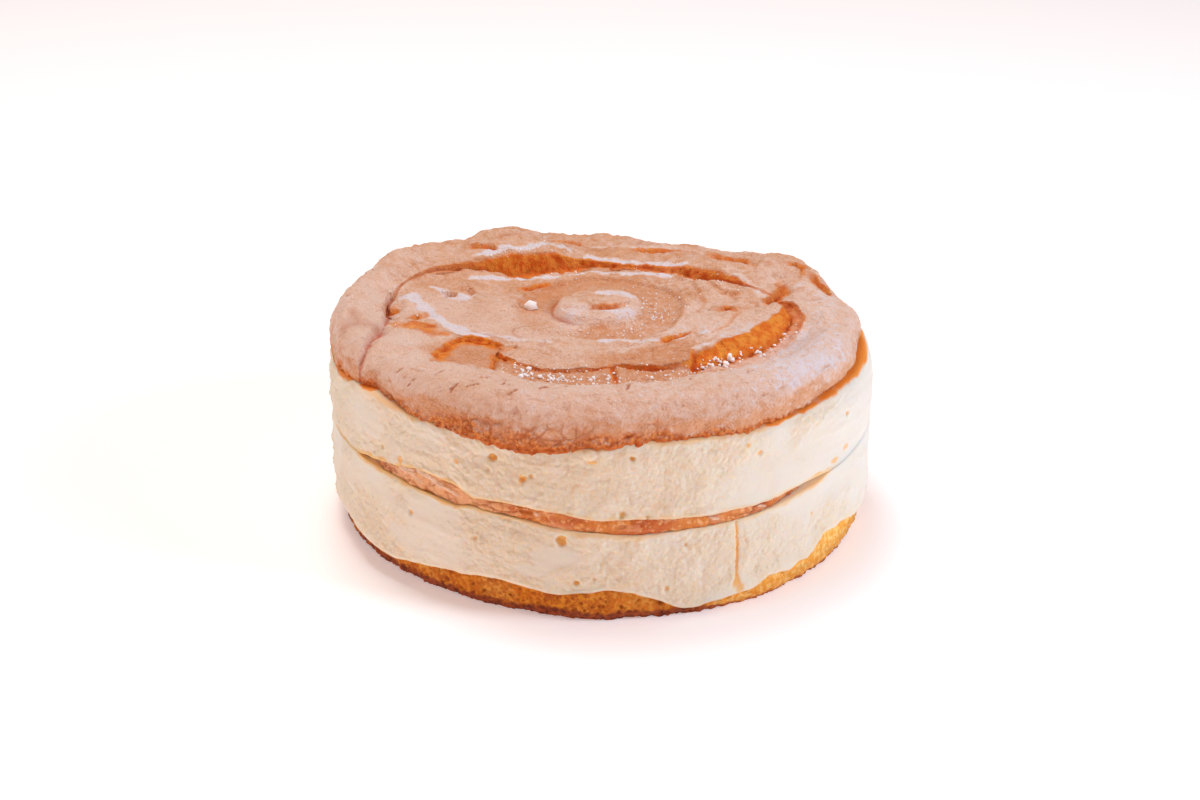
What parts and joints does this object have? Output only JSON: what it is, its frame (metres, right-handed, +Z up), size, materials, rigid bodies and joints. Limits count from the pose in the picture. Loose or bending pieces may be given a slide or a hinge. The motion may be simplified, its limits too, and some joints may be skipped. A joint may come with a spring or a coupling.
{
  "type": "round meringue and whipped cream cake",
  "caption": "Round uncut layer cake: thin sponge base, thick whipped cream, thin baked meringue disc, more whipped cream, and a sugar-dusted baked meringue swirl on top.",
  "frame": {"origin": "middle of the sponge's flat underside, which is the bottom centre of the cake's box", "axes": "+Z up, square to the layers; -Y towards the side that faces the camera in the picture; +X to its right"},
  "size_m": [0.2385, 0.2385, 0.1002],
  "materials": {
    "sponge": "matt golden yellow sponge with a browned lower edge",
    "cream_lower": "soft ivory whipped cream with fine air holes",
    "meringue_disc": "matt orange-tan baked meringue, moist from the cream",
    "cream_upper": "soft ivory whipped cream with fine air holes",
    "meringue_swirl": "dry matt pinkish-tan baked crust, cracked, with icing sugar"
  },
  "bodies": {
    "root": {"sponge_base": "sponge", "cream_lower": "cream_lower", "meringue_disc": "meringue_disc", "cream_upper": "cream_upper", "meringue_swirl": "meringue_swirl"}
  },
  "joints": []
}
